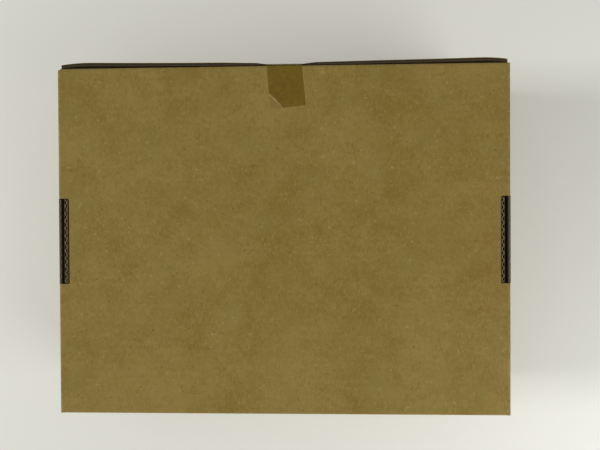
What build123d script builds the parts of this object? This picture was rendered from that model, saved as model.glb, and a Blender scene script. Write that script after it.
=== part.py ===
from build123d import *
from math import sqrt
import os

# A one-piece roll-end box of kraft corrugated board, in millimetres, lying on its lid panel:
# +Z is up, +X runs along its length and +Y points to the closing flap.  The origin is on the
# surface that the box lies on, under the middle of the tray.  The tray is upside down, so it
# works as a cover that lifts off the floor panel about the crease at the back, -Y.

# --- Board and creases ---
board = 1.5                 # thickness of the corrugated board
crease_gap = 0.15           # left between a moving crease and the panel that ends at it
lid_clearance = 0.2         # between the tray's lower edges and the floor panel

# --- Tray ---
box_length = 210.0          # outside, across the double side walls
box_depth = 162.0           # outside, from the back wall to the front wall
box_height = 55.0           # outside, from the surface below to the slotted panel
corner_flap_play = 0.0      # between a corner flap and each side wall that holds it
fold_play = 0.5             # the inner walls and corner flaps are cut this much short
corner_flap_length = 42.0
corner_flap_chamfer = 6.0

# --- Lock slots and tabs ---
slot_length = 40.0
slot_play = 0.8             # between a lock tab and the edge of its slot
slot_corner = 0.8
tab_end_play = 0.4          # at each end of a lock tab
tab_corner = 0.6
cut_edge_drop = 0.3         # the outer wall's cut edge in the slot, below the slotted panel

# --- Floor panel and closing flap ---
lid_inset = 1.3             # at each side, so that the lid is narrower than the tray
flap_stand_off = 1.0        # between the front wall and the closing flap
flap_drop = 0.6             # top of the closing flap, below the slotted panel
flap_corner = 3.0

# --- Tape ---
tape_width = 18.0
tape_on_face = 19.0
tape_down_flap = 20.0
tape_thickness = 0.1
tape_offset = 0.7           # towards +X from the middle

# --- Cell divider ---
cells_along = 14
cells_across = 11
strip_thickness = 0.8
strip_height = 30.0
strip_side_gap = 0.5        # from the ends of the long strips to the side walls
swing_gap = 0.5             # left between the cross strips and the front wall as it swings up
half_slot_play = 0.1        # each side of a strip in its half slot
half_slot_bottom = 0.3      # between the bottoms of two crossed half slots

# --- Levels and faces that follow from the sizes above ---
floor_top = board
tray_bottom = floor_top + lid_clearance
roll_top = tray_bottom + board
panel_under = box_height - board
lid_width = box_length - 2 * lid_inset
half_length = box_length / 2
half_depth = box_depth / 2
wall_gap = board + 2 * corner_flap_play
inner_face_x = half_length - 2 * board - wall_gap
slot_edge_x = inner_face_x - slot_play
hinge_y = -half_depth + board
flap_y = half_depth + flap_stand_off
flap_top = box_height - flap_drop
inner_length = 2 * inner_face_x
inner_depth = 2 * (half_depth - board)
swing_reach = sqrt(inner_depth**2 - strip_height**2)
strip_end_gap = inner_depth - swing_reach + swing_gap

SIDES = {"left": -1, "right": 1}
ENDS = {"back": -1, "front": 1}


def save(piece, name):
    """Label a finished piece and write it to its own file."""
    piece.part.label = name
    export_step(piece.part, f"parts/{name}.step")


def make_cover_panel():
    """The slotted panel: a flat sheet with a notch at the middle of each side for a lock tab."""
    notch = half_length - board - slot_edge_x
    with BuildPart() as panel:
        with BuildSketch(Plane.XY.offset(panel_under)):
            Rectangle(2 * (half_length - board), inner_depth)
            for side in SIDES.values():
                with Locations((side * (slot_edge_x + notch / 2), 0)):
                    Rectangle(notch, slot_length, mode=Mode.SUBTRACT)
        extrude(amount=board)
        upright = panel.edges().filter_by(Axis.Z)
        fillet([e for e in upright if abs(abs(e.center().X) - slot_edge_x) < 0.01], slot_corner)
    return panel


def make_outer_wall(side):
    """An outer side wall with the bend at its top, which is cut away along the lock slot."""
    outer_x = side * half_length
    inner_x = side * (half_length - board)
    cut_edge = box_height - cut_edge_drop
    with BuildPart() as wall:
        with BuildSketch(Plane.XZ):
            with BuildLine():
                Line((outer_x, roll_top), (outer_x, panel_under))
                TangentArc((outer_x, panel_under), (inner_x, box_height), tangent=(0, 1))
                Polyline((inner_x, box_height), (inner_x, roll_top), (outer_x, roll_top))
            make_face()
        extrude(amount=half_depth, both=True)
        with BuildSketch(Plane.XY.offset(panel_under)):
            with Locations(((outer_x + inner_x) / 2, 0)):
                Rectangle(board, slot_length)
        extrude(amount=board)
        with BuildSketch(Plane.XY.offset(cut_edge)):
            with Locations(((outer_x + inner_x) / 2, 0)):
                Rectangle(board, slot_length)
        extrude(amount=cut_edge_drop, mode=Mode.SUBTRACT)
    return wall


def make_roll_strip(side):
    """The narrow strip that joins the outer and inner walls, with both of its bends."""
    outer_x = side * half_length
    inner_x = side * inner_face_x
    outer_flat = side * (half_length - board)
    inner_flat = side * (inner_face_x + board)
    with BuildPart() as strip:
        with BuildSketch(Plane.XZ):
            with BuildLine():
                TangentArc((outer_x, roll_top), (outer_flat, tray_bottom), tangent=(0, -1))
                Line((outer_flat, tray_bottom), (inner_flat, tray_bottom))
                TangentArc((inner_x, roll_top), (inner_flat, tray_bottom), tangent=(0, -1))
                Line((inner_x, roll_top), (outer_x, roll_top))
            make_face()
        extrude(amount=inner_depth / 2 - fold_play, both=True)
    return strip


def make_inner_wall(side):
    """An inner side wall, with the lock tab that stands in the slot of the cover panel."""
    wall_top = panel_under - lid_clearance
    wall_plane = Plane.YZ.offset(side * (inner_face_x + board / 2))
    tab_length = slot_length - 2 * tab_end_play
    with BuildPart() as wall:
        with BuildSketch(wall_plane):
            with Locations((0, (roll_top + wall_top) / 2)):
                Rectangle(inner_depth - 2 * fold_play, wall_top - roll_top)
        extrude(amount=board / 2, both=True)
        with BuildSketch(wall_plane) as tab:
            with Locations((0, (panel_under - board + box_height) / 2)):
                Rectangle(tab_length, box_height - panel_under + board)
            fillet(tab.vertices().group_by(Axis.Z)[-1], tab_corner)
        extrude(amount=board / 2, both=True)
    return wall


def make_end_wall(end):
    """A front or back wall with the bend at its top."""
    outer_y = end * half_depth
    inner_y = end * (half_depth - board)
    with BuildPart() as wall:
        with BuildSketch(Plane.YZ):
            with BuildLine():
                Line((outer_y, tray_bottom), (outer_y, panel_under))
                TangentArc((outer_y, panel_under), (inner_y, box_height), tangent=(0, 1))
                Polyline((inner_y, box_height), (inner_y, tray_bottom), (outer_y, tray_bottom))
            make_face()
        extrude(amount=half_length - 2 * board - corner_flap_play, both=True)
        with BuildSketch(Plane.YZ):
            with BuildLine():
                TangentArc((outer_y, panel_under), (inner_y, box_height), tangent=(0, 1))
                Polyline((inner_y, box_height), (inner_y, panel_under), (outer_y, panel_under))
            make_face()
        extrude(amount=half_length - board, both=True)
    return wall


def make_corner_flap(side, end):
    """A flap folded round the corner from an end wall, held between the two side walls."""
    outer_x = side * (half_length - board - corner_flap_play)
    inner_x = outer_x - side * board
    outer_y = end * half_depth
    fold_y = end * (half_depth - board)
    free_y = fold_y - end * corner_flap_length
    bottom = roll_top + fold_play
    with BuildPart() as flap:
        with BuildSketch(Plane.XY.offset(bottom)):
            with BuildLine():
                TangentArc((inner_x, outer_y), (outer_x, fold_y), tangent=(side, 0))
                Polyline((outer_x, fold_y), (outer_x, free_y), (inner_x, free_y), (inner_x, outer_y))
            make_face()
        extrude(amount=panel_under - fold_play - bottom)
        across = flap.edges().filter_by(Axis.X)
        chamfer([e for e in across if abs(e.center().Y - free_y) < 0.01], corner_flap_chamfer)
    return flap


def make_floor_panel():
    """The panel that the box lies on, from the back crease to the closing flap's crease."""
    back_y = hinge_y + crease_gap
    front_y = flap_y - crease_gap
    with BuildPart() as panel:
        with BuildSketch(Plane.XY):
            with Locations((0, (back_y + front_y) / 2)):
                Rectangle(lid_width, front_y - back_y)
        extrude(amount=board)
    return panel


def make_closing_flap():
    """The flap that stands outside the front wall, with its two free corners rounded."""
    bottom = floor_top + crease_gap
    with BuildPart() as flap:
        with BuildSketch(Plane.XZ.offset(-flap_y - board)) as outline:
            with Locations((0, (bottom + flap_top) / 2)):
                Rectangle(lid_width, flap_top - bottom)
            fillet(outline.vertices().group_by(Axis.Z)[-1], flap_corner)
        extrude(amount=board)
    return flap


def make_tape_on_cover():
    """The stretch of tape that lies on the slotted panel, as far as its front edge."""
    with BuildPart() as tape:
        with BuildSketch(Plane.XY.offset(box_height)):
            with Locations((tape_offset, half_depth - tape_on_face / 2)):
                Rectangle(tape_width, tape_on_face)
        extrude(amount=tape_thickness)
    return tape


def make_tape_on_flap():
    """The rest of the tape: over the flap's cut edge and down its outer side."""
    outer_y = flap_y + board
    end_z = flap_top - tape_down_flap
    lower = [(half_depth, box_height), (flap_y, flap_top), (outer_y, flap_top), (outer_y, end_z)]
    upper = [
        (outer_y + tape_thickness, end_z),
        (outer_y + tape_thickness, flap_top + tape_thickness),
        (flap_y, flap_top + tape_thickness),
        (half_depth, box_height + tape_thickness),
    ]
    with BuildPart() as tape:
        with BuildSketch(Plane.YZ.offset(tape_offset)):
            with BuildLine():
                Polyline(*lower, *upper, close=True)
            make_face()
        extrude(amount=tape_width / 2, both=True)
    return tape


def make_strip(plane, length, crossings, slotted_from_top):
    """One divider strip on its own plane, with a half slot wherever another strip crosses it."""
    slot_width = strip_thickness + 2 * half_slot_play
    slot_depth = (strip_height + half_slot_bottom) / 2
    top = floor_top + strip_height
    slot_z = top - slot_depth / 2 if slotted_from_top else floor_top + slot_depth / 2
    with BuildPart() as strip:
        with BuildSketch(plane):
            with Locations((0, floor_top + strip_height / 2)):
                Rectangle(length, strip_height)
            with Locations(*[(place, slot_z) for place in crossings]):
                Rectangle(slot_width, slot_depth, mode=Mode.SUBTRACT)
        extrude(amount=strip_thickness / 2, both=True)
    return strip


def strip_places(span, cells):
    """Where the strips stand that part a span into equal cells, walls at both ends."""
    pitch = span / cells
    return [-span / 2 + pitch * (i + 1) for i in range(cells - 1)]


os.makedirs("parts", exist_ok=True)

save(make_cover_panel(), "cover_panel")
for side_name, side in SIDES.items():
    save(make_outer_wall(side), f"{side_name}_outer_wall")
    save(make_roll_strip(side), f"{side_name}_roll_strip")
    save(make_inner_wall(side), f"{side_name}_inner_wall")
    for end_name, end in ENDS.items():
        save(make_corner_flap(side, end), f"{end_name}_{side_name}_corner_flap")
for end_name, end in ENDS.items():
    save(make_end_wall(end), f"{end_name}_wall")
save(make_floor_panel(), "floor_panel")
save(make_closing_flap(), "closing_flap")
save(make_tape_on_cover(), "tape_on_cover")
save(make_tape_on_flap(), "tape_on_flap")

long_places = strip_places(inner_depth, cells_across)
cross_places = strip_places(inner_length, cells_along)
for number, y in enumerate(long_places, start=1):
    length = inner_length - 2 * strip_side_gap
    save(make_strip(Plane.XZ.offset(-y), length, cross_places, True), f"long_strip_{number}")
for number, x in enumerate(cross_places, start=1):
    length = inner_depth - 2 * strip_end_gap
    save(make_strip(Plane.YZ.offset(x), length, long_places, False), f"cross_strip_{number}")
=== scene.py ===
"""Looks of a folded corrugated-board storage box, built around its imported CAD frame.

Every panel of the board is made as the real sheet is: two flat liners with a fluted medium
between them, so the waves show wherever the board is cut across its flutes.
"""

import logging
import math
from collections.abc import Callable
from dataclasses import dataclass
from enum import Enum

import bmesh
import bpy
from mathutils import Euler, Matrix, Vector


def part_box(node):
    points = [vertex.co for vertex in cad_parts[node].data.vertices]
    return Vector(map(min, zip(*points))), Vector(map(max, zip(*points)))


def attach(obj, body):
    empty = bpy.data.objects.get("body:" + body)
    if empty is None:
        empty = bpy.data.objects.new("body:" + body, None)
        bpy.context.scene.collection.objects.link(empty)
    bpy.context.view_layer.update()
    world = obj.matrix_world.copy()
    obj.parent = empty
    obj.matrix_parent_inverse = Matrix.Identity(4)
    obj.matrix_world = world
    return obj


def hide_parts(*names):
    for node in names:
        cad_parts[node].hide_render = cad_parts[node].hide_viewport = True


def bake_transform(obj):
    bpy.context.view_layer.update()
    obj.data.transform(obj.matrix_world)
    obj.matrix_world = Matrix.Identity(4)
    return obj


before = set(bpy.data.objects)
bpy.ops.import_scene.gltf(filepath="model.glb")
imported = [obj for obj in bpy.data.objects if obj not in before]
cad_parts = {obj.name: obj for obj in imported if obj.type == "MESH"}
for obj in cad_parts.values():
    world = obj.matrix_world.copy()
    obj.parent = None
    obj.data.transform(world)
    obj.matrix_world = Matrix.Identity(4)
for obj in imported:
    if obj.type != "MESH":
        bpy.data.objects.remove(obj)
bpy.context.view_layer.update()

log = logging.getLogger("storage_box")

MM = 0.001
X, Y, Z = 0, 1, 2
AXES = RIGHT, FORWARD, UP = Vector((1, 0, 0)), Vector((0, 1, 0)), Vector((0, 0, 1))
# Length of one wave of E-flute board.
FLUTE_PITCH = 3.475 * MM
# Two places nearer than this are the same one.
HAIR = 0.01 * MM
# A vertex nearer than this to a cutting plane lies on it.
ON_PLANE = 0.001 * MM
# A face whose normal has more than this along a direction faces that way.
FACES_IT = 0.7


# --- Small tools -----------------------------------------------------------------------------


def linear(hex_colour: str) -> tuple[float, float, float, float]:
    """Turn an sRGB hex colour into linear light.

    Args:
        hex_colour: Six hex digits, such as "c8a56a".

    Returns:
        Red, green, blue and an alpha of 1.
    """
    shares = [int(hex_colour[i : i + 2], 16) / 255 for i in (0, 2, 4)]
    light = [s / 12.92 if s <= 0.04045 else ((s + 0.055) / 1.055) ** 2.4 for s in shares]
    return (light[0], light[1], light[2], 1.0)


def deselect_all() -> None:
    """Leave object mode with nothing selected."""
    if bpy.context.object and bpy.context.object.mode != "OBJECT":
        bpy.ops.object.mode_set(mode="OBJECT")
    bpy.ops.object.select_all(action="DESELECT")


def make_active(piece: bpy.types.Object) -> None:
    """Select one object alone and make it the active one."""
    deselect_all()
    piece.select_set(True)
    bpy.context.view_layer.objects.active = piece


def settle(piece: bpy.types.Object, name: str) -> bpy.types.Object:
    """Name a piece and put its place into its mesh, so that its object sits at the origin.

    Args:
        piece: A mesh object, wherever it stands.
        name: Its new name.

    Returns:
        The same object.
    """
    make_active(piece)
    bpy.ops.object.transform_apply(location=True, rotation=True, scale=True)
    piece.name = name
    piece.data.name = name
    return piece


def span(one: tuple[float, ...], other: tuple[float, ...]) -> tuple[Vector, Vector]:
    """Find the lowest and the highest corner of the box between any two opposite corners."""
    return Vector(map(min, one, other)), Vector(map(max, one, other))


def add_slab(name: str, low: Vector, high: Vector) -> bpy.types.Object:
    """Add a block between two corners.

    Args:
        name: The object's name.
        low: Lowest corner, in metres.
        high: Highest corner, in metres.

    Returns:
        The new object.
    """
    deselect_all()
    bpy.ops.mesh.primitive_cube_add(size=1, location=(low + high) / 2, scale=high - low)
    return settle(bpy.context.object, name)


def join(name: str, pieces: list[bpy.types.Object]) -> bpy.types.Object:
    """Join several objects into the first and name it.

    Args:
        name: The joined object's name.
        pieces: Mesh objects with the same material slots, or none.

    Returns:
        The joined object.
    """
    make_active(pieces[0])
    for piece in pieces[1:]:
        piece.select_set(True)
    bpy.ops.object.join()
    pieces[0].name = name
    pieces[0].data.name = name
    return pieces[0]


def apply_modifier(piece: bpy.types.Object, kind: str, settings: dict) -> None:
    """Add a modifier, set it up and apply it.

    Args:
        piece: The object that it changes.
        kind: The modifier's type name.
        settings: Its values by property name.
    """
    make_active(piece)
    modifier = piece.modifiers.new(kind.title(), kind)
    for name, value in settings.items():
        setattr(modifier, name, value)
    bpy.ops.object.modifier_apply(modifier=modifier.name)


def combine(piece: bpy.types.Object, tool: bpy.types.Object, operation: str) -> None:
    """Cut a piece with another solid, or keep what they share, and remove the other solid.

    Args:
        piece: The object that is changed.
        tool: The solid that cuts it.
        operation: "DIFFERENCE" or "INTERSECT".
    """
    apply_modifier(piece, "BOOLEAN", {"object": tool, "operation": operation, "solver": "EXACT"})
    bpy.data.objects.remove(tool)


def edit_selected(piece: bpy.types.Object, kind: str, test: Callable[..., bool]) -> None:
    """Enter edit mode with only the vertices, edges or faces that pass a test selected.

    Args:
        piece: The object to edit.
        kind: "VERT", "EDGE" or "FACE".
        test: A function of one bmesh element that says whether to select it.
    """
    make_active(piece)
    bpy.ops.object.mode_set(mode="EDIT")
    bpy.ops.mesh.select_mode(type=kind)
    bpy.ops.mesh.select_all(action="DESELECT")
    mesh = bmesh.from_edit_mesh(piece.data)
    for element in {"VERT": mesh.verts, "EDGE": mesh.edges, "FACE": mesh.faces}[kind]:
        if test(element):
            element.select_set(True)
    mesh.select_flush_mode()
    bmesh.update_edit_mesh(piece.data)


def move(piece: bpy.types.Object, test: Callable[..., bool], step: Vector) -> None:
    """Move the vertices that pass a test, and stay in edit mode.

    Args:
        piece: The object.
        test: A function of one bmesh vertex that says whether it moves.
        step: How far they move.
    """
    edit_selected(piece, "VERT", test)
    bpy.ops.transform.translate(value=step)


def round_edges(block: bpy.types.Object, normal: int, place: float, runs: int,
                radius: float, segments: int) -> None:
    """Round the edges of a block that lie in one of its faces and run one way.

    Args:
        block: The block.
        normal: Axis number of the face's normal.
        place: Where the face is along it.
        runs: Axis number that the edges run along.
        radius: Radius of the rounding.
        segments: Flat steps in it.
    """
    across = 3 - normal - runs
    edit_selected(
        block,
        "EDGE",
        lambda edge: all(abs(v.co[normal] - place) < HAIR for v in edge.verts)
        and abs(edge.verts[0].co[across] - edge.verts[1].co[across]) < HAIR,
    )
    bpy.ops.mesh.bevel(offset=radius, segments=segments, affect="EDGES")
    bpy.ops.object.mode_set(mode="OBJECT")


def cut_all(piece: bpy.types.Object, place: Vector, normal: Vector, **choices: bool) -> None:
    """Cut a whole piece with a plane.

    Args:
        piece: The object.
        place: A point on the plane.
        normal: The plane's normal.
        **choices: What the cut does besides, such as clear_outer=True or use_fill=True.
    """
    edit_selected(piece, "VERT", lambda vertex: True)
    bpy.ops.mesh.bisect(plane_co=place, plane_no=normal, threshold=ON_PLANE, **choices)
    bpy.ops.object.mode_set(mode="OBJECT")


def tidy_mesh(piece: bpy.types.Object, merge_distance: float) -> None:
    """Merge doubled vertices and turn every face outwards.

    Args:
        piece: The object to clean.
        merge_distance: Vertices nearer than this are merged, in metres.
    """
    edit_selected(piece, "VERT", lambda vertex: True)
    bpy.ops.mesh.remove_doubles(threshold=merge_distance)
    bpy.ops.mesh.normals_make_consistent(inside=False)
    bpy.ops.object.mode_set(mode="OBJECT")


def stand_for(piece: bpy.types.Object, node: str, body: str) -> None:
    """Let a finished piece stand for its CAD node.

    Args:
        piece: The finished piece.
        node: The CAD node's name.
        body: The body that it moves with.
    """
    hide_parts(node)
    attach(piece, body)
    log.info("%s: %d faces", piece.name, len(piece.data.polygons))


def dress(node: str, material: bpy.types.Material) -> None:
    """Give a CAD node that stays in view its finish.

    Args:
        node: The node's name.
        material: Its material.
    """
    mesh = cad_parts[node].data
    mesh.materials.clear()
    mesh.materials.append(material)
    log.info("%s: %s", node, material.name)


# --- Finishes --------------------------------------------------------------------------------


class Bands(Enum):
    """The direction in which the flutes under a liner repeat."""

    ALONG_Y = (0.0, 1.0, 0.0)
    ALONG_Z = (0.0, 0.0, 1.0)


class Surface:
    """A finish while its nodes are put together."""

    def __init__(self, name: str, settings: dict) -> None:
        """Start a material with one Principled shader.

        Args:
            name: The material's name.
            settings: Shader values by socket name, the same all over the surface.
        """
        self.material = bpy.data.materials.new(name)
        self.material.use_nodes = True
        self.shader = self.material.node_tree.nodes["Principled BSDF"]
        for socket, value in settings.items():
            self.shader.inputs[socket].default_value = value

    def add(self, kind: str, settings: dict, links: dict,
            output: str | int = 0) -> bpy.types.NodeSocket:
        """Add one node, set it up and link what feeds it.

        Args:
            kind: The node's type name.
            settings: Values by property name, or by socket name or number.
            links: Sockets by the name or number of the input that they feed.
            output: Name or number of the output that is wanted.

        Returns:
            That output's socket.
        """
        tree = self.material.node_tree
        node = tree.nodes.new(kind)
        for name, value in settings.items():
            if isinstance(name, str) and hasattr(node, name):
                setattr(node, name, value)
            else:
                node.inputs[name].default_value = value
        for name, source in links.items():
            tree.links.new(source, node.inputs[name])
        return node.outputs[output]

    def finish(self, colour: bpy.types.NodeSocket, height: bpy.types.NodeSocket,
               relief: tuple[float, float]) -> bpy.types.Material:
        """Give the shader its colour and its relief.

        Args:
            colour: The surface's colour.
            height: What the relief follows.
            relief: Strength of the relief, and its depth in metres.

        Returns:
            The finished material.
        """
        heights = {"Strength": relief[0], "Distance": relief[1]}
        normal = self.add("ShaderNodeBump", heights, {"Height": height})
        links = self.material.node_tree.links
        links.new(colour, self.shader.inputs["Base Color"])
        links.new(normal, self.shader.inputs["Normal"])
        return self.material

    def mottle(self, tones: tuple[str, str], noise: tuple[float, float, float],
               ends: tuple[float, float], relief: tuple[float, float]) -> bpy.types.Material:
        """Finish the surface with blotches of two tones, and a relief that follows them.

        Args:
            tones: The sRGB colours at the low and the high end of the noise.
            noise: Size of the noise in metres, its octaves and their roughness.
            ends: Noise values at the two tones.
            relief: Strength of the relief, and its depth in metres.

        Returns:
            The finished material.
        """
        size, octaves, keep = noise
        place = self.add("ShaderNodeTexCoord", {}, {}, "Object")
        grain = {"Scale": 1 / size, "Detail": octaves, "Roughness": keep}
        pattern = self.add("ShaderNodeTexNoise", grain, {"Vector": place})
        spread = self.add("ShaderNodeMapRange", {1: ends[0], 2: ends[1]}, {0: pattern})
        mixed = {"data_type": "RGBA", 6: linear(tones[0]), 7: linear(tones[1])}
        colour = self.add("ShaderNodeMix", mixed, {0: spread}, 2)
        return self.finish(colour, pattern, relief)


@dataclass(frozen=True)
class KraftLiner:
    """Unbleached kraft linerboard, calendered dry.

    Matt, with a cloudy formation of long brown fibres, darker bark specks and pale shives, and
    the faint washboard that the flutes leave in it, as relief and as painted shade in its colour.
    Along its top folds it pales with a painted highlight.
    """

    pulp: str = "957e42"
    dark_pulp: str = "826c2d"
    bark: str = "5c4c28"
    shive: str = "b3a06a"
    green_pulp: str = "8c7d3f"
    roughness: float = 0.82
    specular: float = 0.25
    relief: tuple[float, float] = (0.3, 0.06 * MM)
    # Size in mm across and along the fibres, octaves, roughness of the octaves, share of the tone.
    formation: tuple[tuple[float, ...], ...] = (
        (38.0, 38.0, 2.0, 0.5, 0.8),
        (9.0, 9.0, 2.0, 0.6, 0.62),
        (1.7, 1.7, 5.0, 0.75, 1.25),
        (0.55, 3.2, 3.0, 0.6, 0.75),
    )
    # Greener patches, bark specks and shives: the colour's field, its size in mm, the noise value
    # above which it shows, how far it ramps, its strength, and how far its pattern is shifted.
    flecks: tuple[tuple, ...] = (
        ("green_pulp", 13.0, 0.4, 0.4, 0.65, 83.0),
        ("bark", 1.3, 0.65, 0.13, 0.6, 11.0),
        ("shive", 1.7, 0.64, 0.14, 0.42, 47.0),
    )
    fleck_octaves: float = 2.0
    fleck_softness: float = 0.5
    # Share of the flutes' washboard in the tone, which drives both the relief and the colour, where
    # it is painted shade.
    washboard: float = 0.02
    contrast: float = 0.25
    # Painted highlight on the top folds: its colour, and its strength at the top.
    fold_highlight: str = "b8a274"
    fold_highlight_strength: float = 0.55
    # Where the painted highlight starts, away from the box's middle along X, Y and Z, and how far
    # it ramps.
    fold_highlight_starts: tuple[float, float, float] = (103.4 * MM, 79.9 * MM, 54.0 * MM)
    fold_highlight_ramps: tuple[float, float, float] = (1.2 * MM, 0.9 * MM, 0.6 * MM)

    def build(self, name: str, bands: Bands) -> bpy.types.Material:
        """Build the liner for one direction of flutes.

        Args:
            name: The material's name.
            bands: The direction in which the flutes repeat.

        Returns:
            The material.
        """
        settings = {"Roughness": self.roughness, "Specular IOR Level": self.specular}
        surface = Surface(name, settings)
        place = surface.add("ShaderNodeTexCoord", {}, {}, "Object")
        # The flutes' washboard, a relief that is also painted into the colour as shade.
        turn = 2 * math.pi / FLUTE_PITCH
        direction = {"operation": "DOT_PRODUCT", 1: tuple(turn * c for c in bands.value)}
        phase = surface.add("ShaderNodeVectorMath", direction, {0: place}, "Value")
        wave = surface.add("ShaderNodeMath", {"operation": "SINE"}, {0: phase})
        share = {"operation": "MULTIPLY", 1: self.washboard}
        tone = surface.add("ShaderNodeMath", share, {0: wave})
        for across_mm, along_mm, octaves, keep, share in self.formation:
            scale = (1 / (across_mm * MM), 1 / (along_mm * MM), 1 / (across_mm * MM))
            sized = surface.add("ShaderNodeMapping", {"Scale": scale}, {"Vector": place})
            grain = {"Scale": 1.0, "Detail": octaves, "Roughness": keep}
            noise = surface.add("ShaderNodeTexNoise", grain, {"Vector": sized})
            weight = {"operation": "MULTIPLY_ADD", 1: share}
            tone = surface.add("ShaderNodeMath", weight, {0: noise, 2: tone})
        middle = sum(layer[4] for layer in self.formation) / 2
        ends = {1: middle - self.contrast, 2: middle + self.contrast}
        tone = surface.add("ShaderNodeMapRange", ends, {0: tone})
        pulps = {"data_type": "RGBA", 6: linear(self.dark_pulp), 7: linear(self.pulp)}
        colour = surface.add("ShaderNodeMix", pulps, {0: tone}, 2)
        for fleck in self.flecks:
            colour = self._scatter(surface, place, colour, *fleck)
        colour = self._paint_fold_highlight(surface, place, colour, tone)
        return surface.finish(colour, tone, self.relief)

    def _scatter(self, surface: Surface, place: bpy.types.NodeSocket,
                 ground: bpy.types.NodeSocket, colour: str, size_mm: float, least: float,
                 ramp: float, strength: float, shift: float) -> bpy.types.NodeSocket:
        """Scatter small flecks of one colour over the ground colour.

        Args:
            surface: The liner's surface.
            place: Object coordinates.
            ground: The colour under the flecks.
            colour: The field that holds their sRGB colour.
            size_mm: Their usual size.
            least: Noise value above which a fleck shows.
            ramp: How much higher the noise is where the fleck is at its strongest.
            strength: Share of its colour there.
            shift: How far the pattern is moved from the others', in flecks.

        Returns:
            The colour with its flecks.
        """
        scale = (1 / (size_mm * MM),) * 3
        placed = {"Scale": scale, "Location": (shift, 2 * shift, -shift)}
        sized = surface.add("ShaderNodeMapping", placed, {"Vector": place})
        grain = {"Scale": 1.0, "Detail": self.fleck_octaves, "Roughness": self.fleck_softness}
        noise = surface.add("ShaderNodeTexNoise", grain, {"Vector": sized})
        ends = {1: least, 2: least + ramp, 4: strength}
        amount = surface.add("ShaderNodeMapRange", ends, {0: noise})
        mixed = {"data_type": "RGBA", 7: linear(getattr(self, colour))}
        return surface.add("ShaderNodeMix", mixed, {0: amount, 6: ground}, 2)

    def _paint_fold_highlight(self, surface: Surface, place: bpy.types.NodeSocket,
              ground: bpy.types.NodeSocket, mottle: bpy.types.NodeSocket) -> bpy.types.NodeSocket:
        """Pale the top folds with a painted highlight, for the light that their rounded faces
        catch.

        Args:
            surface: The liner's surface.
            place: Object coordinates.
            ground: The liner's colour.
            mottle: The liner's tone, which breaks the highlight up.

        Returns:
            The colour with the painted highlight on its folds.
        """
        out = surface.add("ShaderNodeVectorMath", {"operation": "ABSOLUTE"}, {0: place})
        near = []
        for axis, most in ((X, 1.0), (Y, 1.0), (Z, self.fold_highlight_strength)):
            start = self.fold_highlight_starts[axis]
            ends = {1: start, 2: start + self.fold_highlight_ramps[axis], 4: most}
            along = surface.add("ShaderNodeSeparateXYZ", {}, {0: out}, axis)
            near.append(surface.add("ShaderNodeMapRange", ends, {0: along}))
        larger, product = {"operation": "MAXIMUM"}, {"operation": "MULTIPLY"}
        side = surface.add("ShaderNodeMath", larger, {0: near[X], 1: near[Y]})
        edge = surface.add("ShaderNodeMath", product, {0: side, 1: near[Z]})
        # The painted highlight, strongest on the top folds and broken up by the tone.
        highlighted = surface.add("ShaderNodeMath", product, {0: edge, 1: mottle})
        mixed = {"data_type": "RGBA", 7: linear(self.fold_highlight)}
        return surface.add("ShaderNodeMix", mixed, {0: highlighted, 6: ground}, 2)


@dataclass(frozen=True)
class RawPaper:
    """Paper stock seen at a cut or inside the board: recycled fluting and torn liner edges.

    Greyer than the liner's face, rough, and fuzzy at the scale of its fibres.
    """

    light: str
    dark: str
    grain: float = 0.45 * MM
    grain_octaves: float = 4.0
    grain_fuzz: float = 0.7
    grain_ends: tuple[float, float] = (0.3, 0.7)
    relief: tuple[float, float] = (0.5, 0.1 * MM)
    roughness: float = 0.95
    specular: float = 0.2

    def build(self, name: str) -> bpy.types.Material:
        """Build the material.

        Args:
            name: The material's name.

        Returns:
            The material.
        """
        settings = {"Roughness": self.roughness, "Specular IOR Level": self.specular}
        noise = (self.grain, self.grain_octaves, self.grain_fuzz)
        tones = (self.dark, self.light)
        return Surface(name, settings).mottle(tones, noise, self.grain_ends, self.relief)


@dataclass(frozen=True)
class PackingTape:
    """Clear polypropylene tape, cast and coated.

    Glossy and faintly rippled. Where its glue wets the kraft, the paper under it darkens in
    blotches, so the film has a little of that colour itself.
    """

    tint: str
    pale_tint: str
    cover: float
    ripple: float = 1.8 * MM
    ripple_octaves: float = 3.0
    ripple_fuzz: float = 0.6
    ripple_ends: tuple[float, float] = (0.35, 0.7)
    relief: tuple[float, float] = (0.35, 0.2 * MM)
    roughness: float = 0.28
    specular: float = 0.3

    def build(self, name: str) -> bpy.types.Material:
        """Build the film.

        Args:
            name: The material's name.

        Returns:
            The material.
        """
        settings = {
            "Roughness": self.roughness,
            "Alpha": self.cover,
            "Specular IOR Level": self.specular,
        }
        surface = Surface(name, settings)
        surface.material.surface_render_method = "BLENDED"
        noise = (self.ripple, self.ripple_octaves, self.ripple_fuzz)
        tones = (self.tint, self.pale_tint)
        return surface.mottle(tones, noise, self.ripple_ends, self.relief)


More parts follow.
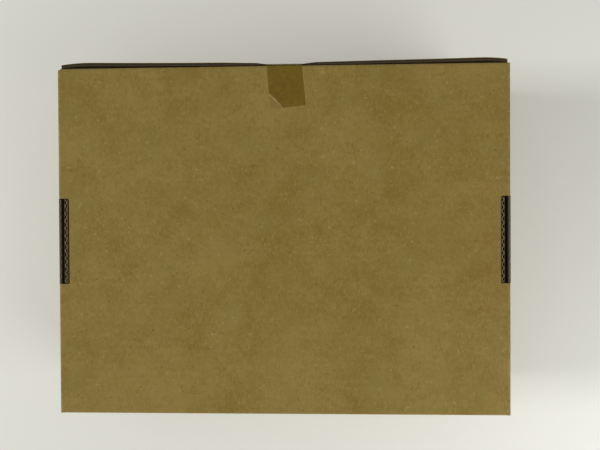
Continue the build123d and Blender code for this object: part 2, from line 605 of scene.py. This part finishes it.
@dataclass
class Finishes:
    """Every material of the box, built once."""

    outside: dict[Bands, bpy.types.Material]
    inside: dict[Bands, bpy.types.Material]
    cut_liner: bpy.types.Material
    fluting: bpy.types.Material
    tab_fluting: bpy.types.Material
    chipboard: bpy.types.Material
    tape_stuck: bpy.types.Material
    tape_loose: bpy.types.Material
    tape_crease: bpy.types.Material

    @classmethod
    def build(cls) -> "Finishes":
        """Build all the materials.

        Returns:
            The set of them.
        """
        kraft = KraftLiner()
        # The liner on the inside of the box is of recycled paper: browner, and made much darker
        # with painted shade, so that the narrow gaps it lines read nearly black.
        testliner_with_painted_shade = KraftLiner(
            pulp="5e4d30", dark_pulp="4b3d26", green_pulp="574a2c", shive="7d6c4a", bark="352a18",
            fold_highlight="5e4d30",
        )
        return cls(
            outside={b: kraft.build(f"kraft_liner_{b.name.lower()}", b) for b in Bands},
            inside={b: testliner_with_painted_shade.build(f"testliner_{b.name.lower()}", b) for b in Bands},
            # The cut liner and the fluting are the paper darkened with painted shade, for cut edges
            # in shade such as the outer walls' and the flap's; the lit fluting is the same paper
            # unshaded, for the cuts at the slots.
            cut_liner=RawPaper("5f563f", "352d1e").build("cut_edge_of_liner_painted_shade"),
            fluting=RawPaper("62574a", "383026").build("fluting_medium_painted_shade"),
            tab_fluting=RawPaper("a6978c", "675a51").build("fluting_lit"),
            chipboard=RawPaper("a79c86", "8d8370", grain=0.7 * MM).build("grey_chipboard"),
            tape_stuck=PackingTape("745b00", "8e7204", 0.293).build("tape_stuck_down"),
            tape_loose=PackingTape("5f4a08", "8a7840", 0.06).build("tape_lifted"),
            # The crease's pale tone is partly the creased film's whitening and partly painted
            # highlight, for the light that its low ridge catches.
            tape_crease=PackingTape("a08a50", "d6c48a", 0.6, roughness=0.6).build("tape_crease"),
        )

    def board(self, bands: Bands, lit_cut: bool = False) -> list[bpy.types.Material]:
        """Give the slots of a corrugated piece.

        Args:
            bands: The direction in which its flutes repeat.
            lit_cut: Whether its cut shows pale, unshaded flutes, as at a lock tab; otherwise its
                flutes are darkened with painted shade.

        Returns:
            Outside liner, cut edge, fluting and inside liner, in slot order.
        """
        # Unlit cuts take the flutes darkened with painted shade.
        fluting = self.tab_fluting if lit_cut else self.fluting
        return [self.outside[bands], self.cut_liner, fluting, self.inside[bands]]


# --- Corrugated board ------------------------------------------------------------------------


LINER_SLOT = 0
EDGE_SLOT = 1
FLUTING_SLOT = 2
INSIDE_SLOT = 3


def paint(piece: bpy.types.Object, materials: list[bpy.types.Material], slot: int) -> None:
    """Give a piece its material slots and put every face in one of them.

    Args:
        piece: The object.
        materials: The materials, in slot order.
        slot: The slot that its faces take.
    """
    piece.data.materials.clear()
    for material in materials:
        piece.data.materials.append(material)
    for face in piece.data.polygons:
        face.material_index = slot


@dataclass
class Board:
    """E-flute corrugated board, and how its flat stretches and its folds are built."""

    liner: float = 0.2 * MM
    medium: float = 0.2 * MM
    wave_steps: int = 4
    wave_smoothing: int = 2
    # Smoothing lowers a crest by a third, so it is first raised by this much more.
    crest_gain: float = 1.5
    wave_seam: float = 0.002 * MM
    fold_seam: float = 0.001 * MM

    def sheet(self, name: str, low: Vector, high: Vector, flutes: int, through: int,
              outside: int, materials: list[bpy.types.Material]) -> list[bpy.types.Object]:
        """Build a flat stretch of board: two liners and the medium.

        Args:
            name: Start of its objects' names.
            low: Lowest corner.
            high: Highest corner.
            flutes: Axis number that the flutes run along.
            through: Axis number of the board's thickness.
            outside: 1 where the outside liner is on the high side, and -1 on the low side.
            materials: The board's materials, in slot order.

        Returns:
            The three objects, painted.
        """
        parts = []
        for side, start in ((-1, low[through]), (1, high[through] - self.liner)):
            first, last = low.copy(), high.copy()
            first[through], last[through] = start, start + self.liner
            slab = add_slab(f"{name}_liner", first, last)
            paint(slab, materials, EDGE_SLOT)
            for face in slab.data.polygons:
                if abs(face.normal[through]) > FACES_IT:
                    face.material_index = LINER_SLOT if side == outside else INSIDE_SLOT
            parts.append(slab)
        parts.append(self.wave(f"{name}_medium", low, high, flutes, through, materials))
        return parts

    def wave(self, name: str, low: Vector, high: Vector, flutes: int, through: int,
             materials: list[bpy.types.Material]) -> bpy.types.Object:
        """Build the fluted medium that lies between two liners.

        A flat grid gets rows a quarter of a flute apart; its crests are raised, its troughs
        lowered, and the whole is smoothed into a wave and given its thickness.

        Args:
            name: The object's name.
            low: Lowest corner of the board.
            high: Highest corner of the board.
            flutes: Axis number that the flutes run along.
            through: Axis number of the board's thickness.
            materials: The board's materials, in slot order.

        Returns:
            The painted medium.
        """
        across = 3 - flutes - through
        step = FLUTE_PITCH / self.wave_steps
        first = math.floor(low[across] / step) - 1
        last = math.ceil(high[across] / step) + 1
        length = high[flutes] - low[flutes]
        deselect_all()
        bpy.ops.mesh.primitive_grid_add(x_subdivisions=1, y_subdivisions=last - first, size=1)
        sheet = bpy.context.object
        sheet.scale = (length, (last - first) * step, 1)
        sheet.location = (0, (last + first) * step / 2, 0)
        settle(sheet, name)
        height = (high[through] - low[through] - 2 * self.liner - self.medium) / 2
        for phase, lift in ((1, height), (3, -height)):
            move(
                sheet,
                lambda v: round(v.co.y / step) % self.wave_steps == phase,
                UP * lift * self.crest_gain,
            )
        bpy.ops.object.mode_set(mode="OBJECT")
        smoothing = {
            "levels": self.wave_smoothing,
            "render_levels": self.wave_smoothing,
            "boundary_smooth": "PRESERVE_CORNERS",
        }
        apply_modifier(sheet, "SUBSURF", smoothing)
        apply_modifier(sheet, "SOLIDIFY", {"thickness": self.medium, "offset": 0})
        turn = Matrix((AXES[flutes], AXES[across], AXES[through])).transposed().to_4x4()
        middle = (low + high) / 2
        middle[across] = 0
        sheet.data.transform(Matrix.Translation(middle) @ turn)
        for edge, way in ((low, -1), (high, 1)):
            cut_all(sheet, edge, AXES[across] * way, use_fill=True, clear_outer=True)
        tidy_mesh(sheet, self.wave_seam)
        paint(sheet, materials, FLUTING_SLOT)
        return sheet

    def fold(self, name: str, low: Vector, high: Vector, through: int, outside: int,
             ahead: Vector, centre: Vector, axis: Vector, turn: float,
             materials: list[bpy.types.Material], steps: int = 8) -> list[bpy.types.Object]:
        """Carry the board round a fold: its outside liner, and its crushed medium within.

        Each is a thin block where the fold starts, whose face there is spun round the fold's
        centre.

        Args:
            name: Start of the objects' names.
            low: Lowest corner of the thin length of board where the fold starts.
            high: Its highest corner.
            through: Axis number of the board's thickness there.
            outside: 1 where the outside liner is on the high side, and -1 on the low side.
            ahead: Direction in which the board meets the fold.
            centre: A point on the fold's axis.
            axis: Direction of the fold's axis.
            turn: 1 or -1, the way a quarter turn goes about the axis.
            materials: The board's materials, in slot order.
            steps: Flat steps in the fold.

        Returns:
            The two objects, painted.
        """
        outer, inner = high[through], low[through]
        if outside < 0:
            outer, inner = inner, outer
        skin = outer - outside * self.liner
        parts = []
        for part, ends, slot in (("skin", (outer, skin), LINER_SLOT),
                                 ("core", (skin, inner), FLUTING_SLOT)):
            first, last = low.copy(), high.copy()
            first[through], last[through] = min(ends), max(ends)
            bend = add_slab(f"{name}_{part}", first, last)
            edit_selected(bend, "FACE", lambda face: face.normal.dot(ahead) > FACES_IT)
            bpy.ops.mesh.spin(steps=steps, angle=-turn * math.pi / 2, center=centre, axis=axis)
            bpy.ops.object.mode_set(mode="OBJECT")
            tidy_mesh(bend, self.fold_seam)
            paint(bend, materials, slot)
            parts.append(bend)
        return parts


# --- Where things are ------------------------------------------------------------------------


@dataclass
class Layout:
    """Places of the box's panels, read from the frame."""

    slot_length: float = 40.0 * MM
    left_slot_play: float = 0.8 * MM
    right_slot_play: float = 0.3 * MM
    slot_corner: float = 0.8 * MM
    cut_edge_drop: float = 0.3 * MM

    def __post_init__(self) -> None:
        """Read the faces that more than one panel shares."""
        panel_low, panel_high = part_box("cover_panel")
        wall_low, wall_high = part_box("right_outer_wall")
        back_low, back_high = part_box("back_wall")
        inner_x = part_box("right_inner_wall")[0].x
        self.face_z = panel_high.z
        self.panel_under = panel_low.z
        self.board = panel_high.z - panel_low.z
        self.half_length = wall_high.x
        self.half_depth = wall_high.y
        self.fold_x = panel_high.x
        self.fold_y = panel_high.y
        self.cut_edge_z = wall_high.z - self.cut_edge_drop
        self.roll_top = wall_low.z
        self.slot_edge_x = {-1: inner_x - self.left_slot_play, 1: inner_x - self.right_slot_play}
        self.tray_bottom = back_low.z
        self.hinge_y = back_high.y


@dataclass
class FlapShape:
    """How the closing flap stands: bowed, curled at its ends and pressed flat by the tape."""

    front_wall_y: float
    bow_middle: float = 6.0 * MM
    bow_reach: float = 95.0 * MM
    bow_power: float = 1.4
    bow_play: float = 0.05 * MM
    end_curl: float = 1.05 * MM
    end_curl_reach: float = 13.0 * MM
    edge_height: float = 3.3 * MM
    # Ends of the stretch under the tape, and how far along the edge its hollow fades.
    pinch: tuple[float, float] = (-7.0 * MM, 9.3 * MM)
    pinch_fade: tuple[float, float] = (2.5 * MM, 6.0 * MM)
    pinch_depth: float = 0.55 * MM
    # How far the edge is pressed in to the left and right of the tape, and how far that fades.
    press_depth: tuple[float, float] = (0.45 * MM, 0.35 * MM)
    press_fade: tuple[float, float] = (20.0 * MM, 35.0 * MM)

    def __post_init__(self) -> None:
        """Read the flap's place."""
        self.low, self.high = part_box("closing_flap")

    def rise(self, z: float) -> float:
        """Find the share of the flap's height at a level, 0 at its crease and 1 at its edge."""
        return max(0.0, (z - self.low.z) / (self.high.z - self.low.z))

    def lean(self, x: float, z: float) -> float:
        """Find how far the flap leans in towards the front wall.

        Args:
            x: Place along the flap, from its middle.
            z: Height.

        Returns:
            The lean in metres.
        """
        stand_off = self.low.y - self.front_wall_y - self.bow_play
        bow = max(0.0, 1 - ((x - self.bow_middle) / self.bow_reach) ** 2)
        near_end = max(0.0, 1 - (self.high.x - abs(x)) / self.end_curl_reach)
        return (
            stand_off * bow * self.rise(z) ** self.bow_power
            + self.end_curl * near_end**2 * self.rise(z) ** 2
        )

    def edge(self, z: float) -> float:
        """Find how near a level is to the free edge, 0 below the edge's height and 1 at the top."""
        return max(0.0, 1 - (self.high.z - z) / self.edge_height)

    def hollow(self, x: float) -> float:
        """Find how deep the edge's hollow is under the tape, 1 at its full depth."""
        left, right = self.pinch
        beyond = ((left - x) / self.pinch_fade[0], (x - right) / self.pinch_fade[1], 0.0)
        return max(0.0, 1 - max(beyond))

    def crush(self, x: float, z: float) -> float:
        """Find how far the flap's outer side is pressed in, besides its lean.

        Args:
            x: Place along the flap, from its middle.
            z: Height.

        Returns:
            The depth in metres.
        """
        left, right = self.pinch
        side = 0 if x < left else 1
        beyond = max(0.0, left - x, x - right)
        press = self.press_depth[side] * max(0.0, 1 - beyond / self.press_fade[side])
        return (self.pinch_depth * self.hollow(x) + press) * self.edge(z)

    def outer_y(self, x: float, z: float) -> float:
        """Find where the flap's outer side stands."""
        return self.high.y - self.lean(x, z) - self.crush(x, z)


# --- The tray, which works as the cover ------------------------------------------------------


@dataclass
class Tray:
    """The slotted panel with its four walls, all folded from one blank."""

    layout: Layout
    board: Board
    finishes: Finishes
    bend_start: float = 0.1 * MM
    notch_segments: int = 4
    crushed_corner: float = 0.55 * MM
    corner_relief: float = 0.35 * MM
    crushed_thickness: float = 1.05 * MM
    left_wall_lean: float = 0.4 * MM
    right_wall_lean: float = 0.25 * MM
    crushed_height: float = 9.0 * MM
    crush_cuts: tuple[float, ...] = (0.0, 0.25, 0.5, 0.75)
    tab_end_play: float = 0.4 * MM
    wall_play: float = 0.2 * MM

    def build(self) -> None:
        """Build and dress every visible panel of the tray."""
        self._cover_panel()
        for side, name in ((-1, "left"), (1, "right")):
            self._outer_wall(side, f"{name}_outer_wall")
            self._inner_wall(side, f"{name}_inner_wall")
        for end, name in ((-1, "back"), (1, "front")):
            self._end_wall(end, f"{name}_wall")
        self._dress_cad_folds()

    def _cover_panel(self) -> None:
        """Build the slotted panel, with a rounded notch at each side."""
        at = self.layout
        materials = self.finishes.board(Bands.ALONG_Y)
        corner = (at.fold_x, at.fold_y, at.face_z)
        low, high = span((-at.fold_x, -at.fold_y, at.panel_under), corner)
        parts = self.board.sheet("cover", low, high, X, Z, 1, materials)
        for part in parts:
            for side in (-1, 1):
                combine(part, self._notch_tool(side), "DIFFERENCE")
        stand_for(join("cover_sheet", parts), "cover_panel", "cover")

    def _notch_tool(self, side: int) -> bpy.types.Object:
        """Build the solid that cuts a lock slot out of the panel.

        Args:
            side: -1 for the left slot and 1 for the right.

        Returns:
            The tool, with its two inner corners rounded.
        """
        at = self.layout
        near = side * at.slot_edge_x[side]
        far = side * (at.half_length + at.board)
        half = at.slot_length / 2
        under, over = at.panel_under - at.board, at.face_z + at.board
        tool = add_slab("notch_tool", *span((near, -half, under), (far, half, over)))
        round_edges(tool, X, near, Z, at.slot_corner, self.notch_segments)
        paint(tool, self.finishes.board(Bands.ALONG_Y), EDGE_SLOT)
        return tool

    def _wall_fold(self, name: str, side: int, start: float,
                   end: float) -> list[bpy.types.Object]:
        """Build the fold that turns from the panel into a side wall.

        Args:
            name: Start of the objects' names.
            side: -1 for the left wall and 1 for the right.
            start: Where the fold starts along Y.
            end: Where it ends along Y.

        Returns:
            The two painted objects.
        """
        at = self.layout
        outer, inner = side * at.half_length, side * at.fold_x
        foot = at.panel_under - self.bend_start
        low, high = span((outer, start, foot), (inner, end, at.panel_under))
        centre = Vector((inner, 0, at.panel_under))
        materials = self.finishes.board(Bands.ALONG_Y)
        return self.board.fold(name, low, high, X, side, UP, centre, FORWARD, -side, materials)

    def _outer_wall(self, side: int, node: str) -> None:
        """Build an outer side wall: flutes upright, folded at the top except along the slot.

        The blade that opened the slot has crushed the wall's edge there.

        Args:
            side: -1 for the left wall and 1 for the right.
            node: The CAD node's name.
        """
        at = self.layout
        materials = self.finishes.board(Bands.ALONG_Y)
        slot_materials = self.finishes.board(Bands.ALONG_Y, lit_cut=True)
        outer = side * at.half_length
        half_slot = at.slot_length / 2
        back = -at.half_depth + self.corner_relief
        front = at.half_depth - self.corner_relief - (self.crushed_corner if side < 0 else 0)
        parts = []
        for start, end, top, thick in (
            (back, -half_slot, at.panel_under, at.board),
            (-half_slot, half_slot, at.cut_edge_z, self.crushed_thickness),
            (half_slot, front, at.panel_under, at.board),
        ):
            low, high = span((outer, start, at.roll_top), (outer - side * thick, end, top))
            crushed = thick < at.board
            stretch = self.board.sheet(
                f"{node}_stretch", low, high, Z, X, side, slot_materials if crushed else materials
            )
            if crushed:
                lean = self.left_wall_lean if side < 0 else -self.right_wall_lean
                for part in stretch:
                    self._lean_edge(part, high.z, lean)
            else:
                stretch += self._wall_fold(f"{node}_fold", side, start, end)
            parts += stretch
        stand_for(join(f"{node}_sheet", parts), node, "cover")

    def _lean_edge(self, part: bpy.types.Object, top: float, lean: float) -> None:
        """Push the top of a wall's stretch sideways, more and more towards its cut edge.

        Args:
            part: A liner or the medium of the stretch.
            top: Height of the cut edge.
            lean: How far the cut edge is pushed along X.
        """
        foot = top - self.crushed_height
        for share in self.crush_cuts:
            cut_all(part, Vector((0, 0, foot + share * self.crushed_height)), UP)
        for vertex in part.data.vertices:
            rise = max(0.0, (vertex.co.z - foot) / self.crushed_height)
            vertex.co.x += lean * rise**2

    def _inner_wall(self, side: int, node: str) -> None:
        """Build an inner side wall, with the lock tab that fills the slot.

        The wall is rolled over, so that the board's outside faces into the box.

        Args:
            side: -1 for the left wall and 1 for the right.
            node: The CAD node's name.
        """
        low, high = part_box(node)
        materials = self.finishes.board(Bands.ALONG_Y, lit_cut=True)
        half_tab = self.layout.slot_length / 2 - self.tab_end_play
        wall_top = self.layout.panel_under - self.wall_play
        parts = []
        for start, end, top in (
            (low.y, -half_tab, wall_top),
            (-half_tab, half_tab, high.z),
            (half_tab, high.y, wall_top),
        ):
            ends = span((low.x, start, low.z), (high.x, end, top))
            parts += self.board.sheet(f"{node}_stretch", *ends, Z, X, -side, materials)
        stand_for(join(f"{node}_sheet", parts), node, "cover")

    def _end_wall(self, end: int, node: str) -> None:
        """Build the front or back wall, with its flutes level and its fold at the top.

        Args:
            end: -1 for the back wall and 1 for the front.
            node: The CAD node's name.
        """
        at = self.layout
        materials = self.finishes.board(Bands.ALONG_Z)
        half_flat = at.fold_x - at.board
        outer, inner = end * at.half_depth, end * at.fold_y
        top = at.panel_under
        low, high = span((-half_flat, outer, at.tray_bottom), (half_flat, inner, top))
        parts = self.board.sheet(f"{node}_stretch", low, high, X, Y, end, materials)
        foot = top - self.bend_start
        low, high = span((-at.fold_x, outer, foot), (at.fold_x, inner, top))
        centre = Vector((0, inner, top))
        parts += self.board.fold(node, low, high, Y, end, UP, centre, RIGHT, end, materials)
        stand_for(join(f"{node}_sheet", parts), node, "cover")

    def _dress_cad_folds(self) -> None:
        """Dress the roll strips and corner flaps, whose CAD shape is right."""
        for side in ("left", "right"):
            dress(f"{side}_roll_strip", self.finishes.outside[Bands.ALONG_Y])
            for end in ("front", "back"):
                dress(f"{end}_{side}_corner_flap", self.finishes.outside[Bands.ALONG_Z])


# --- The lid: floor panel, closing flap and the two moving creases ---------------------------


@dataclass
class Lid:
    """The panel that the box lies on, and the flap that stands up from it."""

    layout: Layout
    shape: FlapShape
    board: Board
    finishes: Finishes
    flap_corner: float = 1.0 * MM
    corner_segments: int = 8
    flap_cuts: int = 104
    flap_rows: int = 16
    crease_steps: int = 10
    shift_at_top: float = 0.25 * MM
    thinned_edge: float = 0.2 * MM
    hollow_drop: float = 0.7 * MM

    def build(self) -> None:
        """Build and dress the lid's panels and creases."""
        self._floor_panel()
        self._closing_flap()
        self._crease("back_crease", self.layout.hinge_y, -1)
        self._crease("flap_crease", self.shape.low.y, 1)

    def _floor_panel(self) -> None:
        """Build the floor panel, whose flutes open at its two ends."""
        low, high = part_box("floor_panel")
        materials = self.finishes.board(Bands.ALONG_Y)
        panel = join("floor_sheet", self.board.sheet("floor", low, high, X, Z, -1, materials))
        stand_for(panel, "floor_panel", "floor")

    def _closing_flap(self) -> None:
        """Build the closing flap, round its free corners and bow it towards the tape."""
        low, high = self.shape.low, self.shape.high
        materials = self.finishes.board(Bands.ALONG_Z)
        parts = self.board.sheet("flap", low, high, X, Y, 1, materials)
        for part in parts:
            combine(part, self._corner_tool(low, high), "INTERSECT")
            self._divide(part, X, self.flap_cuts)
            if part is not parts[-1]:
                self._divide(part, Z, self.flap_rows)
        flap = join("closing_flap_sheet", parts)
        self._bow(flap)
        stand_for(flap, "closing_flap", "closing_flap")

    def _corner_tool(self, low: Vector, high: Vector) -> bpy.types.Object:
        """Build the solid that rounds the flap's two free corners.

        Args:
            low: The flap's lowest corner.
            high: Its highest corner.

        Returns:
            The tool: what it shares with a sheet is kept.
        """
        through = FORWARD * self.layout.board
        tool = add_slab("corner_tool", low - through, high + through)
        round_edges(tool, Z, high.z, Y, self.flap_corner, self.corner_segments)
        paint(tool, self.finishes.board(Bands.ALONG_Z), EDGE_SLOT)
        return tool

    def _divide(self, piece: bpy.types.Object, axis: int, lengths: int) -> None:
        """Cut a flat piece into short lengths, so that it can curve.

        Args:
            piece: The object.
            axis: The axis number that it is cut along.
            lengths: How many lengths it is cut into.
        """
        places = [v.co[axis] for v in piece.data.vertices]
        first, last = min(places), max(places)
        normal = AXES[axis]
        for i in range(1, lengths):
            cut_all(piece, normal * (first + (last - first) * i / lengths), normal)

    def _bow(self, flap: bpy.types.Object) -> None:
        """Give the flat flap its shape.

        Args:
            flap: The flat flap.
        """
        shape = self.shape
        middle = (shape.low + shape.high) / 2
        size = shape.high - shape.low
        deselect_all()
        bpy.ops.object.add(type="LATTICE", location=middle)
        cage = bpy.context.object
        cage.scale = size
        cage.data.points_u, cage.data.points_v = self.flap_cuts + 1, 2
        cage.data.points_w = self.flap_rows + 1
        for direction in ("u", "v", "w"):
            setattr(cage.data, f"interpolation_type_{direction}", "KEY_LINEAR")
        for point in cage.data.points:
            x = middle.x + point.co.x * size.x
            z = middle.z + point.co.z * size.z
            lean = shape.lean(x, z)
            if point.co.y > 0:
                lean += shape.crush(x, z)
                drop = self.hollow_drop * shape.hollow(x) * shape.edge(z)
                point.co_deform.z = point.co.z - drop / size.z
            else:
                lean -= self.thinned_edge * shape.edge(z)
            point.co_deform.y = point.co.y - lean / size.y
            point.co_deform.x = point.co.x + self.shift_at_top * shape.rise(z) / size.x
        bpy.context.view_layer.update()
        apply_modifier(flap, "LATTICE", {"object": cage})
        bpy.data.objects.remove(cage)

    def _crease(self, name: str, hinge_y: float, side: int) -> None:
        """Build the bent board at a moving crease, in its bent shape; the real crease flattens as
        its joint opens.

        Args:
            name: The piece's name.
            hinge_y: Where the crease's axis stands.
            side: -1 where the bend goes out behind, 1 in front.
        """
        board = self.layout.board
        floor_low, floor_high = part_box("floor_panel")
        edge = floor_low.y if side < 0 else floor_high.y
        low, high = span((-floor_high.x, edge, 0.0), (floor_high.x, hinge_y, board))
        centre = Vector((0, hinge_y, floor_high.z))
        materials = self.finishes.board(Bands.ALONG_Z)
        parts = self.board.fold(
            name, low, high, Z, -1, FORWARD * side, centre, RIGHT, side, materials,
            self.crease_steps,
        )
        crease = join(name, parts)
        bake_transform(crease)
        log.info("%s: %d faces", crease.name, len(crease.data.polygons))


# --- The tape --------------------------------------------------------------------------------


STUCK_SLOT = 0
LOOSE_SLOT = 1
CREASE_SLOT = 2


@dataclass
class Tape:
    """The strip of clear tape, slit at the slotted panel's front edge."""

    layout: Layout
    shape: FlapShape
    finishes: Finishes
    width: float = 16.2 * MM
    on_face: float = 19.6 * MM
    on_flap: float = 21.0 * MM
    past_slit: float = 4.0 * MM
    columns: int = 18
    cover_rows: int = 24
    flap_rows: int = 100
    thickness: float = 0.04 * MM
    middle: tuple[float, float] = (1.5 * MM, 81 * MM)
    slant: float = math.radians(5.6)
    # Where the corner's crease ends: share of the length at its side, of the width at its foot.
    crease_ends: tuple[float, float] = (0.64, 0.16)
    crease_width: float = 0.4 * MM
    crease_lift: float = 0.04 * MM
    corner_lift: float = 0.04 * MM / 3
    lie: float = 0.01 * MM
    dip_at_slit: float = 0.25 * MM
    # Length, step outwards and step up of each straight run over the crushed edge.
    over_edge: tuple[tuple[float, float, float], ...] = (
        (0.45 * MM, 0.38 * MM, -0.24 * MM),
        (0.45 * MM, 0.30 * MM, -0.33 * MM),
        (0.45 * MM, 0.18 * MM, -0.41 * MM),
    )

    def build(self) -> None:
        """Build the two stretches of tape."""
        self._on_cover()
        self._on_flap()

    def _strip(self, name: str, low_y: float, high_y: float, rows: int,
               keep: int) -> bpy.types.Object:
        """Add a flat stretch of tape at height 0, turned to its slant and slit at one end.

        Args:
            name: The object's name.
            low_y: Its lower end, measured along the tape from the slit.
            high_y: Its upper end, measured along the tape from the slit.
            rows: Cells along the tape.
            keep: -1 keeps what lies on the slotted panel, and 1 what lies beyond its edge.

        Returns:
            The stretch, one sheet thick.
        """
        deselect_all()
        bpy.ops.mesh.primitive_grid_add(x_subdivisions=self.columns, y_subdivisions=rows, size=1)
        strip = bpy.context.object
        strip.scale = (self.width, high_y - low_y, 1)
        strip.location = (0, (low_y + high_y) / 2, 0)
        settle(strip, name)
        strip.rotation_euler = (0, 0, self.slant)
        strip.location = (*self.middle, 0)
        settle(strip, name)
        finishes = self.finishes
        paint(strip, [finishes.tape_stuck, finishes.tape_loose, finishes.tape_crease], STUCK_SLOT)
        cut_all(strip, FORWARD * self.layout.half_depth, FORWARD * keep, clear_inner=True)
        return strip

    def _on_cover(self) -> None:
        """Build the stretch on the slotted panel, with its creased, lifted corner."""
        at = self.layout
        strip = self._strip(
            "tape_stretch_on_cover", -self.on_face, self.past_slit, self.cover_rows, -1
        )
        turn = Matrix.Rotation(self.slant, 4, "Z")
        origin = Vector((*self.middle, 0))
        down, inwards = self.crease_ends
        side = origin + turn @ Vector((-self.width / 2, -down * self.on_face, 0))
        foot = origin + turn @ Vector((-inwards * self.width, -self.on_face, 0))
        along = (foot - side).normalized()
        out = Vector((along.y, -along.x, 0))
        half_crease = self.crease_width / 2
        for shift in (-half_crease, 0.0, half_crease):
            cut_all(strip, side + out * shift, out)
        # Faces past the crease take the lifted tape, and a thin strip along it the pale crease
        # tape, which is partly painted highlight.
        for face in strip.data.polygons:
            beyond = (face.center - side).dot(out)
            if beyond > half_crease:
                face.material_index = LOOSE_SLOT
            elif beyond > -half_crease:
                face.material_index = CREASE_SLOT
        move(strip, lambda v: abs((v.co - side).dot(out)) < 2 * HAIR, UP * self.crease_lift)
        move(strip, lambda v: (v.co - side).dot(out) > self.crease_width, UP * self.corner_lift)
        move(strip, lambda v: v.co.y > at.half_depth - HAIR, UP * -self.dip_at_slit)
        move(strip, lambda v: True, UP * (at.face_z + self.lie))
        bpy.ops.object.mode_set(mode="OBJECT")
        apply_modifier(strip, "SOLIDIFY", {"thickness": self.thickness, "offset": 1})
        stand_for(strip, "tape_on_cover", "cover")

    def _on_flap(self) -> None:
        """Build the stretch that goes over the flap's edge and down its outer side."""
        at = self.layout
        strip = self._strip(
            "tape_stretch_on_flap", -self.past_slit, self.on_flap, self.flap_rows, 1
        )
        for vertex in strip.data.vertices:
            past = vertex.co.y - at.half_depth
            vertex.co.y, vertex.co.z = self._over_the_edge(vertex.co.x, past)
        apply_modifier(strip, "SOLIDIFY", {"thickness": self.thickness, "offset": 1})
        stand_for(strip, "tape_on_flap", "closing_flap")

    def _over_the_edge(self, x: float, past: float) -> tuple[float, float]:
        """Find where the tape is at a length along it past the slit.

        Args:
            x: Place along the flap, from its middle.
            past: Length along the tape, from the slit.

        Returns:
            The Y and Z of that place.
        """
        at = self.layout
        y, z = at.half_depth, at.face_z - self.dip_at_slit + self.lie
        for length, step_y, step_z in self.over_edge:
            share = min(1.0, past / length)
            y += share * step_y
            z += share * step_z
            past -= share * length
            if past <= 0:
                return y, z
        z -= past
        return self.shape.outer_y(x, z) + self.lie, z


# --- The divider -----------------------------------------------------------------------------


def dress_divider(chipboard: bpy.types.Material) -> None:
    """Give every strip of the cell divider its chipboard.

    Args:
        chipboard: The material.
    """
    for name in sorted(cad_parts):
        if name.startswith(("long_strip", "cross_strip")):
            dress(name, chipboard)


# --- Studio ----------------------------------------------------------------------------------


@dataclass
class Studio:
    """The pale bench, the soft lights and the camera straight above."""

    bench_size: float = 6.0
    bench_gap: float = 0.05 * MM
    bench_colour: str = "f3f2e9"
    bench_roughness: float = 0.6
    bench_specular: float = 0.3
    room_strength: float = 0.383
    panel_size: float = 0.4
    # Name, place in metres and power in watts of each light panel, turned to the box.
    panels: tuple[tuple, ...] = (
        ("left_panel", (-1.2, 0.0, 0.8), 9.27),
        ("right_panel", (0.4, -0.25, 0.25), 1.207),
    )
    lens_mm: float = 27.06
    sensor_mm: float = 36.0
    nearest: float = 0.01
    camera_place: tuple[float, ...] = (14.235 * MM, 8.78 * MM, 263.237 * MM)
    camera_turn_deg: tuple[float, ...] = (-0.467, 1.573, -0.304)

    def build(self) -> None:
        """Build the bench, the lights and the camera."""
        self._bench()
        self._lights()
        self._camera()

    def _bench(self) -> None:
        """Add the bench top that the box lies on."""
        deselect_all()
        bpy.ops.mesh.primitive_plane_add(size=self.bench_size, location=(0, 0, -self.bench_gap))
        bench = bpy.context.object
        bench.name = "bench"
        settings = {
            "Base Color": linear(self.bench_colour),
            "Roughness": self.bench_roughness,
            "Specular IOR Level": self.bench_specular,
        }
        bench.data.materials.append(Surface("bench_laminate", settings).material)

    def _lights(self) -> None:
        """Add the even room light and two broad panels."""
        world = bpy.data.worlds.new("room")
        bpy.context.scene.world = world
        world.use_nodes = True
        background = world.node_tree.nodes["Background"]
        background.inputs["Color"].default_value = linear("ffffff")
        background.inputs["Strength"].default_value = self.room_strength
        for name, place, energy in self.panels:
            deselect_all()
            bpy.ops.object.light_add(type="AREA", location=place)
            lamp = bpy.context.object
            lamp.name = name
            lamp.data.size = self.panel_size
            lamp.data.energy = energy
            lamp.rotation_euler = (-Vector(place)).to_track_quat("-Z", "Y").to_euler()
            lamp.visible_camera = False

    def _camera(self) -> None:
        """Add the camera above the box, square to it to within two degrees."""
        deselect_all()
        turn = [math.radians(angle) for angle in self.camera_turn_deg]
        bpy.ops.object.camera_add(location=self.camera_place, rotation=Euler(turn))
        camera = bpy.context.object
        camera.data.lens = self.lens_mm
        camera.data.sensor_width = self.sensor_mm
        camera.data.clip_start = self.nearest
        scene = bpy.context.scene
        scene.camera = camera
        scene.view_settings.view_transform = "Standard"
        scene.view_settings.look = "None"


# --- Everything together ---------------------------------------------------------------------


def main() -> None:
    """Build the box, dress it and set up the studio."""
    logging.basicConfig(level=logging.INFO, format="%(message)s")
    layout = Layout()
    board = Board()
    finishes = Finishes.build()
    shape = FlapShape(layout.half_depth)
    Tray(layout, board, finishes).build()
    Lid(layout, shape, board, finishes).build()
    Tape(layout, shape, finishes).build()
    dress_divider(finishes.chipboard)
    Studio().build()


if __name__ == "__main__":
    main()
